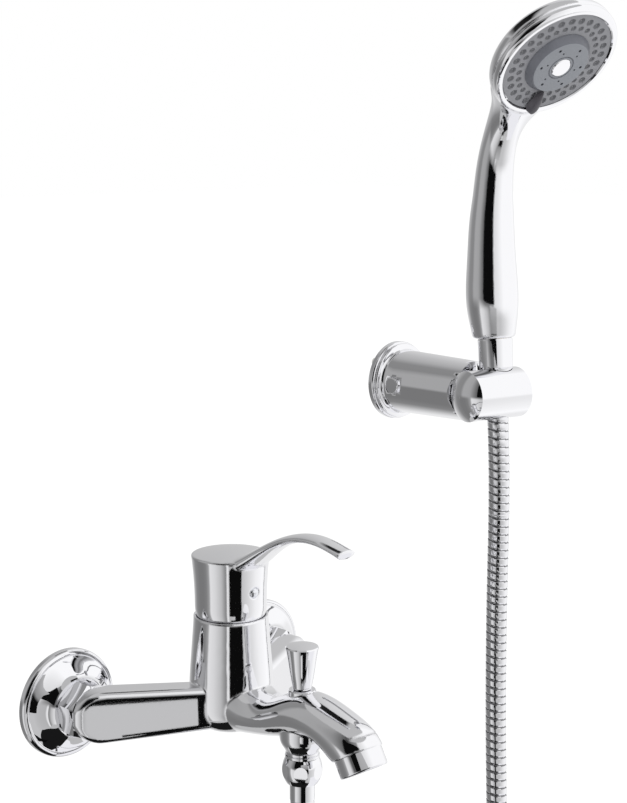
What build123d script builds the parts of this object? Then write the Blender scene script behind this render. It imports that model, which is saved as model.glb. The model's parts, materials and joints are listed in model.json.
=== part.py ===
from build123d import *
import os
from math import cos, pi, radians, sin, sqrt, tan

os.makedirs("parts", exist_ok=True)

# Wall mounted bath mixer with spout, diverter, hose, wall holder and hand shower.
# Frame: millimetres, +X right along the wall, +Y into the wall, +Z up. The wall face is Y = 0.
# The origin is midway between the two supply pipes, on the wall face.

# ---- driving dimensions -------------------------------------------------------------------------
inlet_pitch = 150.0  # supply pipe centres
inlet_rise = 6.0  # each eccentric union lifts the mixer this far above its pipe
pipe_thread_r = 10.48  # G 1/2 outside thread
union_thread_r = 13.2  # G 3/4 outside thread
mixer_z = inlet_rise  # height of the mixer's own centre line
tower_y = -63.0  # tower axis in front of the wall
holder_x, holder_z = 204.0, 169.0  # wall holder's centre on the wall
holder_reach = 86.5  # wall to the holder's tilt axis
head_turn = -10.6  # the socket head is turned this many degrees off square
hose_r = 7.0

sides = {"left": -1, "right": 1}


def save(piece, name):
    """Labels a finished piece and writes its STEP file."""
    piece.part.label = name
    export_step(piece.part, f"parts/{name}.step")


# ---- wall unions, flanges and union nuts --------------------------------------------------------
stud_depth = 18.0  # thread that enters the wall
stud_nose, stud_nose_r = 9.0, 10.0  # round body in front of the wall, still on the pipe's axis
union_front = 22.0  # front end of the union, where the sealing washer sits
washer_t = 2.0
tail_flange_front = 26.0  # collar of the mixer's inlet, held by the nut's web
nut_back, nut_front, nut_flats = 14.0, 28.0, 30.0
tail_r = 9.6
flange_r, flange_depth, flange_wall = 32.5, 14.0, 1.2

for side, way in sides.items():
    inlet_x = way * inlet_pitch / 2
    pipe_end = Plane(origin=(inlet_x, 0, 0), x_dir=(1, 0, 0), z_dir=(0, -1, 0))
    inlet_end = Plane(origin=(inlet_x, 0, mixer_z), x_dir=(1, 0, 0), z_dir=(0, -1, 0))
    inlet_plan = Plane(origin=(inlet_x, 0, mixer_z))
    inlet_axis = Axis((inlet_x, 0, mixer_z), (0, 1, 0))

    with BuildPart() as union:
        with BuildSketch(pipe_end.offset(-stud_depth)):
            Circle(pipe_thread_r)
        extrude(amount=stud_depth)
        with BuildSketch(pipe_end):
            Circle(stud_nose_r)
        extrude(amount=stud_nose)
        with BuildSketch(inlet_end.offset(stud_nose - 4)):
            Circle(union_thread_r)
        extrude(amount=union_front - stud_nose + 4)
        with BuildSketch(pipe_end.offset(-stud_depth)):
            Circle(6.5)
        extrude(amount=stud_depth + stud_nose - 2, mode=Mode.SUBTRACT)
        with BuildSketch(inlet_end.offset(stud_nose - 2.5)):
            Circle(8.5)
        extrude(amount=union_front, mode=Mode.SUBTRACT)
    save(union, f"wall_union_{side}")

    # bell-shaped flange: a bead at the wall, then a concave cone up to the nut
    with BuildPart() as flange:
        with BuildSketch(inlet_plan):
            with BuildLine():
                Line((union_thread_r, -flange_depth), (17.4, -flange_depth))
                Spline((17.4, -flange_depth), (22.0, -9.0), (28.8, -5.0), tangents=[(0.4, 1), (1, 0.35)])
                ThreePointArc((28.8, -5.0), (31.6, -4.3), (flange_r, -2.0))
                Polyline((flange_r, -2.0), (flange_r, 0), (31.2, 0), (31.2, -2.2), (28.4, -3.6))
                Spline((28.4, -3.6), (21.2, -7.6), (16.4, -12.8), tangents=[(-1, -0.35), (-0.4, -1)])
                Polyline((16.4, -12.8), (union_thread_r, -12.8), (union_thread_r, -flange_depth))
            make_face()
        revolve(axis=inlet_axis)
    save(flange, f"wall_flange_{side}")

    with BuildPart() as nut:
        with BuildSketch(inlet_end.offset(nut_back)):
            RegularPolygon(nut_flats / 2, 6, major_radius=False, rotation=20 * way)
        extrude(amount=nut_front - nut_back)
        # both ends are turned to a cone, so the hexagon's corners are chamfered
        with BuildSketch(inlet_plan):
            with BuildLine():
                Polyline(
                    (0, -nut_front),
                    (14.4, -nut_front),
                    (18.0, -nut_front + 2.4),
                    (18.0, -nut_back - 2.4),
                    (14.4, -nut_back),
                    (0, -nut_back),
                    close=True,
                )
            make_face()
        revolve(axis=inlet_axis, mode=Mode.INTERSECT)
        with BuildSketch(inlet_end.offset(nut_back)):
            Circle(union_thread_r)
        extrude(amount=tail_flange_front - nut_back, mode=Mode.SUBTRACT)
        with BuildSketch(inlet_end.offset(nut_back)):
            Circle(tail_r)
        extrude(amount=nut_front - nut_back, mode=Mode.SUBTRACT)
    save(nut, f"union_nut_{side}")

# one flat washer seals each union against the mixer
with BuildPart() as inlet_washers:
    for way in sides.values():
        inlet_face = Plane(
            origin=(way * inlet_pitch / 2, -union_front, mixer_z), x_dir=(1, 0, 0), z_dir=(0, -1, 0)
        )
        with BuildSketch(inlet_face):
            Circle(12.6)
            Circle(8.0, mode=Mode.SUBTRACT)
        extrude(amount=washer_t)
save(inlet_washers, "inlet_washers")

# ---- mixer body: tower, two swept arms, spout and hose outlet in one casting --------------------
tower_top, tower_rim_r = 52.0, 22.0  # heights are above the mixer's centre line
tower_base_r, tower_bottom = 25.3, -16.5
seat_z, bore_r = 20.0, 17.6  # cartridge bore
thread_z, thread_r = 39.4, 19.0  # cartridge nut's thread
rim_bore_z, rim_bore_r = 43.5, 20.8  # mouth that the handle's skirt dips into
collar_low, collar_r = 17.8, 8.0  # seat of the diverter bonnet's collar
arm_end_r, arm_tower_h = 15.5, 12.3
arm_back, arm_wall_end = 28.0, 33.0
diverter_s = 61.5  # diverter axis, in front of the tower axis
chamber_r, chamber_low, chamber_top = 9.0, -9.0, 8.0
outlet_end = -15.0
spout_end_s, spout_end_z, spout_end_tilt = 106.3, -4.5, 60.0
aerator_r, aerator_out = 13.8, 10.5


def ahead(s, z, tilt=0.0, x=0.0):
    """A plane across the spout or lever, s ahead of the tower axis and z above the centre line.

    Its normal points forward, tilt degrees below the horizontal.
    """
    normal = (0, -cos(radians(tilt)), -sin(radians(tilt)))
    return Plane(origin=(x, tower_y - s, mixer_z + z), x_dir=(1, 0, 0), z_dir=normal)


def above(z, s=0.0, x=0.0):
    """A level plane z above the centre line, s ahead of the tower axis."""
    return Plane(origin=(x, tower_y - s, mixer_z + z))


tower_axis = Axis((0, tower_y, 0), (0, 0, 1))
tower_section = ahead(0, 0)

# right arm: its plan, cut to its front view, with the long edges rounded
with BuildPart() as arm:
    with BuildSketch(Plane.XY.offset(mixer_z - 20)) as plan:
        Polygon(
            (59.5, -arm_back),
            (inlet_pitch / 2 + arm_end_r - 0.4, -arm_back),
            (inlet_pitch / 2 + arm_end_r - 0.4, -arm_wall_end),
            (8, tower_y - 15),
            (8, tower_y + 6),
        )
        outer_corner = plan.vertices().group_by(Axis.X)[-1].sort_by(Axis.Y)[0]
        fillet(outer_corner, radius=8)
    extrude(amount=40)
    with BuildSketch(Plane(origin=(0, -arm_back, mixer_z), x_dir=(1, 0, 0), z_dir=(0, -1, 0))):
        with Locations((inlet_pitch / 2, 0)):
            Circle(arm_end_r)
        Polygon(
            (inlet_pitch / 2, arm_end_r),
            (8, arm_tower_h),
            (8, -arm_tower_h),
            (inlet_pitch / 2, -arm_end_r),
        )
    extrude(amount=60, mode=Mode.INTERSECT)
    fillet(
        arm.edges().filter_by(lambda edge: edge.center().X > 12 and edge.center().Y < -arm_back - 1),
        radius=4,
    )

# spout sections: reach, height, tilt, half width, half height
spout_sections = [
    (6.0, -1.5, 0.0, 19.0, 14.0),
    (27.0, -1.0, 0.0, 18.0, 13.0),
    (44.0, 1.2, -3.0, 16.8, 11.9),
    (61.0, 7.0, 0.0, 16.6, 13.2),
    (77.0, 8.2, 14.0, 16.2, 11.8),
    (92.0, 4.2, 33.0, 15.6, 12.6),
]

with BuildPart() as spout:
    for s, z, tilt, half_w, half_h in spout_sections:
        with BuildSketch(ahead(s, z, tilt)):
            Ellipse(half_w, half_h)
    with BuildSketch(ahead(spout_end_s, spout_end_z, spout_end_tilt)):
        Circle(aerator_r + 0.8)
    loft()

with BuildPart() as body:
    # tower: a bowl below and a slim cone above
    with BuildSketch(tower_section):
        with BuildLine():
            Polyline((0, tower_top), (0, tower_bottom), (12, tower_bottom))
            ThreePointArc((12, tower_bottom), (21.4, -11.4), (tower_base_r, -1))
            Spline(
                (tower_base_r, -1),
                (tower_base_r - 0.3, 10),
                (tower_rim_r, tower_top),
                tangents=[(0, 1), (-0.06, 1)],
            )
            Line((tower_rim_r, tower_top), (0, tower_top))
        make_face()
    revolve(axis=tower_axis)
    add(arm.part)
    add(mirror(arm.part, about=Plane.YZ, mode=Mode.PRIVATE))
    add(spout.part)

    # hose outlet: a short waisted boss under the diverter
    with BuildSketch(ahead(diverter_s, 0)):
        with BuildLine():
            Polyline((9.6, outlet_end), (0, outlet_end), (0, 5), (13.8, 5), (13.0, -7))
            Spline((13.0, -7), (11.8, -11), (9.6, outlet_end), tangents=[(-0.07, -1), (-0.3, -1)])
        make_face()
    revolve(axis=Axis((0, tower_y - diverter_s, 0), (0, 0, 1)))

    # inlet tails with their collars
    for way in sides.values():
        tail = Plane(
            origin=(way * inlet_pitch / 2, -union_front - washer_t, mixer_z),
            x_dir=(1, 0, 0),
            z_dir=(0, -1, 0),
        )
        with BuildSketch(tail):
            Circle(12.8)
        extrude(amount=tail_flange_front - union_front - washer_t)
        with BuildSketch(tail):
            Circle(tail_r)
        extrude(amount=arm_back - union_front)
        # waterway: straight in from the union, then along the arm to the cartridge port
        with BuildSketch(tail):
            Circle(6.5)
        extrude(amount=11, mode=Mode.SUBTRACT)
        elbow = Vector(way * (inlet_pitch / 2 - 8), -36, mixer_z)
        port = Vector(way * 9, tower_y - 1, mixer_z)
        with BuildSketch(Plane(origin=elbow, z_dir=port - elbow)):
            Circle(5.0)
        extrude(amount=(port - elbow).length, mode=Mode.SUBTRACT)
        with BuildSketch(above(-4, x=way * 9)):
            Circle(3.6)
        extrude(amount=seat_z + 5, mode=Mode.SUBTRACT)

    # stepped bore: cartridge, nut thread, mouth
    for low, radius in ((seat_z, bore_r), (thread_z, thread_r), (rim_bore_z, rim_bore_r)):
        with BuildSketch(above(low)):
            Circle(radius)
        extrude(amount=tower_top - low, mode=Mode.SUBTRACT)

    # mixed water: down from the cartridge, forward to the diverter chamber, on to the aerator
    with BuildSketch(above(-6, 11)):
        Circle(4.0)
    extrude(amount=seat_z + 7, mode=Mode.SUBTRACT)
    with BuildSketch(ahead(8, -3)):
        Circle(5.5)
    extrude(amount=diverter_s - 8, mode=Mode.SUBTRACT)
    with BuildSketch(above(chamber_low, diverter_s)):
        Circle(chamber_r)
    extrude(amount=chamber_top - chamber_low, mode=Mode.SUBTRACT)
    with BuildSketch(above(outlet_end, diverter_s)):
        Circle(6.0)
    extrude(amount=chamber_low - outlet_end, mode=Mode.SUBTRACT)
    with BuildSketch(above(chamber_top, diverter_s)):
        Circle(7.0)
    extrude(amount=20, mode=Mode.SUBTRACT)
    with BuildSketch(above(collar_low, diverter_s)):
        Circle(collar_r)
    extrude(amount=10, mode=Mode.SUBTRACT)
    with BuildLine():
        waterway = Spline(
            ahead(diverter_s + 6, 3.0).origin,
            ahead(84, 5.4).origin,
            ahead(spout_end_s - 4.5, spout_end_z + 7.8).origin,
            tangents=[(0, -1, 0), (0, -cos(radians(55)), -sin(radians(55)))],
        )
    with BuildSketch(ahead(diverter_s + 6, 3.0)):
        Circle(6.0)
    sweep(path=waterway, mode=Mode.SUBTRACT)
    with BuildSketch(ahead(spout_end_s, spout_end_z, spout_end_tilt)):
        Circle(12.4)
    extrude(amount=-8, mode=Mode.SUBTRACT)
    # grooves for the three rubber rings under the cartridge
    for x, s in ((9, 0), (-9, 0), (0, 11)):
        with BuildSketch(above(seat_z - 1.2, s, x)):
            Circle(5.2)
            Circle(4.3, mode=Mode.SUBTRACT)
        extrude(amount=1.2, mode=Mode.SUBTRACT)
save(body, "mixer_body")

# ---- cartridge: ceramic discs, rotor and spindle ------------------------------------------------
# Turning the lever turns the rotor, the spindle and the moving disc. Lifting it rocks the spindle
# on its pin, and the ball at the spindle's foot slides the moving disc across the fixed disc.
gap = 0.05  # running clearance on a radius
pivot_z, foot_z, foot_r, stem_r = 58.0, 32.8, 2.4, 1.7
lift_max = 18.0  # degrees
neck_r, neck_top = 12.4, 60.0
fixed_low, moving_low, carrier_low, carrier_top = 23.0, 26.5, 30.0, 35.0
roof_z, disc_room_r = 37.7, 14.05
moving_r, carrier_flat, disc_back = 9.5, 8.0, 3.8
rotor_neck_r, rotor_top = 9.9, 62.0
spindle_w, spindle_low, spindle_top = 7.0, 54.0, 80.0
pin_r, pin_half = 1.5, 9.6
disc_centre = (0, disc_back)

with BuildPart() as housing:
    with BuildSketch(above(seat_z)):
        Circle(bore_r)
    extrude(amount=thread_z - seat_z)
    with BuildSketch(above(thread_z)):
        Circle(neck_r)
    extrude(amount=neck_top - thread_z)
    # floor: three round ports below, each joined by a short slot to its port in the fixed disc
    with BuildSketch(above(seat_z)):
        with Locations((9, 0), (-9, 0), (0, -11)):
            Circle(2.8)
    extrude(amount=fixed_low - seat_z, mode=Mode.SUBTRACT)
    with BuildSketch(above(seat_z + 1.5)):
        SlotCenterToCenter(18, 3.6)
        with Locations((0, -5)):
            SlotCenterToCenter(13, 3.6, rotation=90)
    extrude(amount=fixed_low - seat_z - 1.5, mode=Mode.SUBTRACT)
    with BuildSketch(above(fixed_low)):
        Circle(disc_room_r)
    extrude(amount=roof_z - fixed_low, mode=Mode.SUBTRACT)
    with BuildSketch(above(roof_z)):
        Circle(rotor_neck_r + gap)
    extrude(amount=neck_top - roof_z, mode=Mode.SUBTRACT)
save(housing, "cartridge_housing")

with BuildPart() as port_seals:
    for x, s in ((9, 0), (-9, 0), (0, 11)):
        with BuildSketch(above(seat_z - 1.2, s, x)):
            Circle(5.2)
            Circle(4.3, mode=Mode.SUBTRACT)
        extrude(amount=1.2)
save(port_seals, "cartridge_seals")

with BuildPart() as fixed_disc:
    with BuildSketch(above(fixed_low)):
        Circle(disc_room_r)
        with Locations((4.8, -2.2), (-4.8, -2.2)):
            Circle(1.8, mode=Mode.SUBTRACT)
        with Locations((0, 2.6)):
            Circle(2.4, mode=Mode.SUBTRACT)
    extrude(amount=moving_low - fixed_low - gap)
save(fixed_disc, "fixed_disc")

# the moving disc's underside holds the mixing chamber
with BuildPart() as moving_disc:
    with BuildSketch(above(moving_low)):
        with Locations(disc_centre):
            Circle(moving_r)
    extrude(amount=carrier_low - moving_low)
    with BuildSketch(above(moving_low)):
        with Locations(disc_centre):
            Polygon((-6.6, -0.2), (-3, 7.5), (3, 7.5), (6.6, -0.2))
            with Locations((0, 2.6)):
                SlotCenterToCenter(7.8, 4.8, rotation=90)
    extrude(amount=1.6, mode=Mode.SUBTRACT)
save(moving_disc, "moving_disc")

# the carrier's flat sides run between the rotor's two walls; the spindle's ball sits in its pocket
with BuildPart() as carrier:
    with BuildSketch(above(carrier_low)):
        with Locations(disc_centre):
            Circle(moving_r)
            Rectangle(2 * carrier_flat, 3 * moving_r, mode=Mode.INTERSECT)
        Circle(foot_r + 0.4, mode=Mode.SUBTRACT)
    extrude(amount=carrier_top - carrier_low)
save(carrier, "disc_carrier")

cross_pin = Plane(origin=(-pin_half, tower_y, mixer_z + pivot_z), z_dir=(1, 0, 0))
with BuildPart() as rotor:
    with BuildSketch(above(carrier_low + 0.1)):
        Circle(disc_room_r - gap)
    extrude(amount=roof_z - 0.1 - carrier_low - 0.1)
    with BuildSketch(above(carrier_low + 0.1)):
        Rectangle(2 * carrier_flat + 0.2, 30)
    extrude(amount=carrier_top - carrier_low, mode=Mode.SUBTRACT)
    with BuildSketch(above(roof_z - 0.1)):
        Circle(rotor_neck_r)
    extrude(amount=rotor_top - roof_z + 0.1)
    with BuildSketch(above(carrier_top)):
        with Locations((0, -2.6)):
            Rectangle(spindle_w + 0.2, 15.2)
    extrude(amount=roof_z - carrier_top, mode=Mode.SUBTRACT)
    with BuildSketch(above(roof_z)):
        with Locations((0, -1.75)):
            Rectangle(spindle_w + 0.2, 13.7)
    extrude(amount=rotor_top - roof_z, mode=Mode.SUBTRACT)
    with BuildSketch(cross_pin):
        Circle(pin_r)
    extrude(amount=2 * pin_half, mode=Mode.SUBTRACT)
save(rotor, "rotor")

with BuildPart() as rotor_pin:
    with BuildSketch(cross_pin):
        Circle(pin_r)
    extrude(amount=2 * pin_half)
save(rotor_pin, "rotor_pin")

with BuildPart() as spindle:
    with BuildSketch(above(spindle_low)):
        Rectangle(spindle_w, spindle_w)
    extrude(amount=spindle_top - spindle_low)
    with BuildSketch(above(foot_z)):
        Circle(stem_r)
    extrude(amount=spindle_low - foot_z)
    with Locations((0, tower_y, mixer_z + foot_z)):
        Sphere(foot_r)
    with BuildSketch(cross_pin):
        Circle(pin_r + gap)
    extrude(amount=2 * pin_half, mode=Mode.SUBTRACT)
save(spindle, "spindle")

# ring nut with four spanner notches
with BuildPart() as cartridge_nut:
    with BuildSketch(above(thread_z)):
        Circle(thread_r)
        Circle(neck_r + 0.3, mode=Mode.SUBTRACT)
    extrude(amount=rim_bore_z - thread_z)
    with BuildSketch(above(rim_bore_z - 2)):
        with PolarLocations(neck_r, 4, start_angle=45):
            Rectangle(6, 4)
    extrude(amount=2, mode=Mode.SUBTRACT)
save(cartridge_nut, "cartridge_nut")

# ---- handle: cap and lever in one casting -------------------------------------------------------
# Below the cap the skirt is part of a ball about the lift axis, so it can rock inside the rim.
skirt_ball_r, skirt_low = 21.2, 50.2
cap_top, cap_crown, cap_r, cap_top_r = 88.6, 1.7, 21.6, 23.0
cavity_r, cavity_top = 17.5, 84.0
boss_low, boss_r = 66.0, 9.0
screw_z, screw_r, button_r, button_seat = 69.0, 2.5, 3.25, 20.0
lever_sections = [
    (11.0, 83.6, -36.0, 14.0, 4.6),
    (25.5, 91.4, -33.0, 12.0, 4.3),
    (40.0, 100.6, -31.0, 9.4, 3.1),
    (54.0, 107.0, -18.0, 8.0, 2.6),
    (68.0, 109.8, -3.0, 7.3, 2.3),
    (82.0, 109.1, 9.0, 6.8, 2.1),
    (96.5, 105.8, 20.0, 6.5, 2.7),
]
skirt_low_r = sqrt(skirt_ball_r**2 - (pivot_z - skirt_low) ** 2)
skirt_mid_r = sqrt(skirt_ball_r**2 - (pivot_z - 54) ** 2)

with BuildPart() as lever:
    for s, z, tilt, half_w, half_t in lever_sections:
        with BuildSketch(ahead(s, z, tilt)):
            Ellipse(half_w, half_t)
    loft()

with BuildPart() as handle:
    with BuildSketch(tower_section):
        with BuildLine():
            Polyline((0, cap_top + cap_crown), (0, skirt_low), (skirt_low_r, skirt_low))
            ThreePointArc((skirt_low_r, skirt_low), (skirt_mid_r, 54), (skirt_ball_r, pivot_z))
            Spline(
                (skirt_ball_r, pivot_z),
                (cap_r, 72),
                (cap_top_r, cap_top - 1),
                tangents=[(0, 1), (0.13, 1)],
            )
            ThreePointArc((cap_top_r, cap_top - 1), (cap_top_r - 0.3, cap_top - 0.2), (cap_top_r - 1, cap_top))
            TangentArc((0, cap_top + cap_crown), (cap_top_r - 1, cap_top), tangent=(1, 0))
        make_face()
    revolve(axis=tower_axis)
    with BuildSketch(above(skirt_low)):
        Circle(cavity_r)
    extrude(amount=cavity_top - skirt_low, mode=Mode.SUBTRACT)
    with BuildSketch(above(boss_low)):
        Circle(boss_r)
    extrude(amount=cavity_top + 2 - boss_low)
    add(lever.part)
    with BuildSketch(above(boss_low)):
        Rectangle(spindle_w, spindle_w)
    extrude(amount=spindle_top - boss_low, mode=Mode.SUBTRACT)
    with BuildSketch(ahead(spindle_w / 2, screw_z)):
        Circle(screw_r)
    extrude(amount=20, mode=Mode.SUBTRACT)
    with BuildSketch(ahead(button_seat, screw_z)):
        Circle(button_r)
    extrude(amount=6, mode=Mode.SUBTRACT)
save(handle, "handle")

with BuildPart() as handle_screw:
    with BuildSketch(ahead(spindle_w / 2, screw_z)):
        Circle(screw_r)
    extrude(amount=5)
    with BuildSketch(ahead(spindle_w / 2 + 5, screw_z)):
        RegularPolygon(1.25, 6, major_radius=False)
    extrude(amount=-2.5, mode=Mode.SUBTRACT)
save(handle_screw, "handle_grub_screw")

with BuildPart() as button:
    with BuildSketch(ahead(button_seat, screw_z)):
        Circle(button_r)
    extrude(amount=2.9)
    fillet(button.edges().filter_by(GeomType.CIRCLE).sort_by(Axis.Y)[0], radius=0.6)
save(button, "index_button")

# ---- diverter: pull knob, stem, valve disc and return spring ------------------------------------
knob_low, knob_top, stem_top = 21.4, 46.5, 34.5
divert_stem_r, valve_r, valve_t = 3.0, 8.2, 4.0
spring_r, spring_wire, spring_pitch = 5.4, 1.0, 3.4
diverter_section = ahead(diverter_s, 0)
diverter_axis = Axis((0, tower_y - diverter_s, 0), (0, 0, 1))

with BuildPart() as bonnet:
    with BuildSketch(above(chamber_top, diverter_s)):
        Circle(7.0)
    extrude(amount=collar_low - chamber_top)
    with BuildSketch(above(collar_low, diverter_s)):
        Circle(collar_r)
    extrude(amount=3.4)
    chamfer(bonnet.edges().group_by(Axis.Z)[-1], length=0.5)
    with BuildSketch(above(chamber_top, diverter_s)):
        Circle(divert_stem_r + gap)
    extrude(amount=20, mode=Mode.SUBTRACT)
save(bonnet, "diverter_bonnet")

with BuildPart() as divert_stem:
    with BuildSketch(above(chamber_low, diverter_s)):
        Circle(divert_stem_r)
    extrude(amount=stem_top - chamber_low)
save(divert_stem, "diverter_stem")

with BuildPart() as valve_disc:
    with BuildSketch(above(chamber_low, diverter_s)):
        Circle(valve_r)
        Circle(divert_stem_r, mode=Mode.SUBTRACT)
    extrude(amount=valve_t)
save(valve_disc, "diverter_disc")

with BuildPart() as knob:
    with BuildSketch(diverter_section):
        with BuildLine():
            Polyline((0, knob_top + 0.7), (0, knob_low), (5, knob_low), (5.5, knob_low + 0.5))
            Spline(
                (5.5, knob_low + 0.5),
                (6.6, 28),
                (7.9, 36.5),
                (9.6, knob_top - 0.7),
                tangents=[(0.1, 1), (0.25, 1)],
            )
            Line((9.6, knob_top - 0.7), (9.0, knob_top))
            TangentArc((0, knob_top + 0.7), (9.0, knob_top), tangent=(1, 0))
        make_face()
    revolve(axis=diverter_axis)
    with BuildSketch(above(knob_low - 1, diverter_s)):
        Circle(divert_stem_r)
    extrude(amount=stem_top - knob_low + 1, mode=Mode.SUBTRACT)
save(knob, "diverter_knob")

spring_low = chamber_low + valve_t + spring_wire / 2
spring_rise = chamber_top - spring_low - spring_wire / 2
with BuildPart() as spring:
    with BuildLine(above(spring_low, diverter_s)):
        coil = Helix(pitch=spring_pitch, height=spring_rise, radius=spring_r)
    with BuildSketch(Plane(origin=coil @ 0, x_dir=(1, 0, 0), z_dir=coil % 0)):
        Rectangle(spring_wire, spring_wire)
    sweep(path=coil, is_frenet=True)
save(spring, "diverter_spring")

# ---- spout end: aerator -------------------------------------------------------------------------
aerator_bore_r, aerator_thread_r = 10.4, 12.4
spout_end = ahead(spout_end_s, spout_end_z, spout_end_tilt)

with BuildPart() as aerator_shell:
    with BuildSketch(spout_end):
        Circle(aerator_r)
    extrude(amount=aerator_out)
    out_edge = aerator_shell.edges().filter_by(GeomType.CIRCLE).sort_by(Axis.Z)
    fillet(out_edge[0], radius=1.2)
    with BuildSketch(spout_end):
        Circle(aerator_thread_r)
    extrude(amount=-6)
    with BuildSketch(spout_end.offset(-6)):
        Circle(aerator_bore_r)
    extrude(amount=aerator_out + 6, mode=Mode.SUBTRACT)
save(aerator_shell, "aerator_shell")

with BuildPart() as aerator_insert:
    with BuildSketch(spout_end.offset(-6)):
        Circle(aerator_bore_r)
    extrude(amount=aerator_out + 5)
    with BuildSketch(spout_end.offset(aerator_out - 1)):
        with GridLocations(4.2, 4.2, 4, 4):
            Rectangle(3.2, 3.2)
    extrude(amount=-3, mode=Mode.SUBTRACT)
save(aerator_insert, "aerator_insert")

with BuildPart() as aerator_washer:
    with BuildSketch(spout_end.offset(-8)):
        Circle(aerator_thread_r)
        Circle(8.5, mode=Mode.SUBTRACT)
    extrude(amount=2)
save(aerator_washer, "aerator_washer")

# ---- hose outlet: nipple, nut, washer and ferrule -----------------------------------------------
nipple_thread_r, nut_top, nut_low = 9.2, -18.6, -33.8
nipple_low, lower_washer_low, ferrule_collar_low = -28.0, -30.0, -31.5
ferrule_r, ferrule_top, hose_low_z = 7.25, -34.2, -44.0
ferrule_neck_r, hose_bore_r = 6.2, 4.0

with BuildPart() as nipple:
    with BuildSketch(diverter_section):
        with BuildLine():
            Polyline(
                (4.5, -10),
                (6, -10),
                (6, outlet_end),
                (9.6, outlet_end),
                (9.6, outlet_end - 1.2),
                (9.1, outlet_end - 1.5),
                (10, outlet_end - 1.9),
                (10, outlet_end - 3.2),
                (nipple_thread_r, nut_top),
                (nipple_thread_r, nipple_low),
                (4.5, nipple_low),
                close=True,
            )
        make_face()
    revolve(axis=diverter_axis)
save(nipple, "outlet_nipple")

# the nut is turned to a barrel and then milled with six flats
with BuildPart() as hose_nut:
    with BuildSketch(diverter_section):
        with BuildLine():
            Polyline((ferrule_neck_r, nut_low), (9.2, nut_low))
            ThreePointArc((9.2, nut_low), (11.6, (nut_low + nut_top) / 2), (9.6, nut_top))
            Polyline(
                (9.6, nut_top),
                (nipple_thread_r, nut_top),
                (nipple_thread_r, ferrule_collar_low),
                (ferrule_neck_r, ferrule_collar_low),
                (ferrule_neck_r, nut_low),
            )
        make_face()
    revolve(axis=diverter_axis)
    with BuildSketch(above(nut_low, diverter_s)):
        Circle(14)
        RegularPolygon(10.9, 6, major_radius=False, rotation=12, mode=Mode.SUBTRACT)
    extrude(amount=nut_top - nut_low, mode=Mode.SUBTRACT)
save(hose_nut, "hose_nut")

with BuildPart() as outlet_washer:
    with BuildSketch(above(lower_washer_low, diverter_s)):
        Circle(nipple_thread_r)
        Circle(hose_bore_r, mode=Mode.SUBTRACT)
    extrude(amount=nipple_low - lower_washer_low)
save(outlet_washer, "outlet_washer")

with BuildPart() as lower_ferrule:
    with BuildSketch(above(ferrule_collar_low, diverter_s)):
        Circle(nipple_thread_r)
    extrude(amount=lower_washer_low - ferrule_collar_low)
    with BuildSketch(above(ferrule_top, diverter_s)):
        Circle(ferrule_neck_r)
    extrude(amount=ferrule_collar_low - ferrule_top)
    with BuildSketch(above(hose_low_z, diverter_s)):
        Circle(ferrule_r)
    extrude(amount=ferrule_top - hose_low_z)
    with BuildSketch(above(hose_low_z, diverter_s)):
        Circle(hose_bore_r)
    extrude(amount=20, mode=Mode.SUBTRACT)
save(lower_ferrule, "lower_ferrule")

# ---- wall holder: plate, screws and plugs, flanged arm ------------------------------------------
plate_r, plate_t, spigot_r, spigot_end = 22.0, 4.0, 6.0, 29.0
anchor_spacing, anchor_r, anchor_depth = 20.0, 3.0, 20.0
screw_shank_r, screw_head_r, screw_tip = 2.0, 3.8, 18.0
arm_tip, saddle_r, nut_room_r = 72.0, 17.0, 12.0
cap_y, cap_screw_r, cover_r, cover_seat = 17.0, 2.5, 5.5, 17.0
holder_plan = Plane(origin=(holder_x, 0, holder_z))
holder_wall = Plane(origin=(holder_x, 0, holder_z), x_dir=(1, 0, 0), z_dir=(0, -1, 0))
holder_side = Plane(origin=(holder_x, -cap_y, holder_z), x_dir=(0, 1, 0), z_dir=(-1, 0, 0))
turn = radians(-head_turn)
tilt_x = Vector(cos(turn), -sin(turn), 0)
forward = Vector(-sin(turn), -cos(turn), 0)
head_origin = Vector(holder_x, -holder_reach, holder_z)
head_section = Plane(origin=head_origin, x_dir=tilt_x, z_dir=forward)
tilt_axis = Axis(head_origin, tilt_x)
socket_x, socket_back, lean = 6.5, 2.5, 5.0
tilt_low, tilt_high = -6.0, 35.0


def across(x):
    """A plane across the holder's tilt axis; its own x points back and its y up."""
    return Plane(origin=head_origin + tilt_x * x, x_dir=forward * -1, z_dir=tilt_x)


# the handset's own frame: its axis leans back by a few degrees in the socket
lean_s, lean_c = sin(radians(lean)), cos(radians(lean))
up = Vector(0, 0, 1)
stem_axis = up * lean_c - forward * lean_s
stem_front = forward * lean_c + up * lean_s
stem_origin = head_origin + tilt_x * socket_x - forward * socket_back


def held(t, w, bend=0.0):
    """A plane across the handset, t in front of its axis and w up it, its normal bent forward."""
    normal = stem_axis * cos(radians(bend)) + stem_front * sin(radians(bend))
    return Plane(origin=stem_origin + stem_front * t + stem_axis * w, x_dir=tilt_x, z_dir=normal)


# the two wall screws and the bores they leave in the plate and the plugs
with BuildPart() as screw_blanks:
    for way in (-1, 1):
        anchor_z = holder_z + way * anchor_spacing / 2
        with BuildSketch(Plane(origin=(holder_x, 0, anchor_z))):
            Polygon(
                (0, -plate_t),
                (screw_head_r, -plate_t),
                (screw_shank_r, -plate_t + 2),
                (screw_shank_r, screw_tip - 3),
                (0, screw_tip),
            )
        revolve(axis=Axis((holder_x, 0, anchor_z), (0, 1, 0)))

with BuildPart() as screws:
    add(screw_blanks.part)
    with BuildSketch(holder_wall.offset(plate_t)):
        with GridLocations(1, anchor_spacing, 1, 2):
            Rectangle(4.6, 1)
            Rectangle(1, 4.6)
    extrude(amount=-1.4, mode=Mode.SUBTRACT)
save(screws, "holder_screws")

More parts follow.
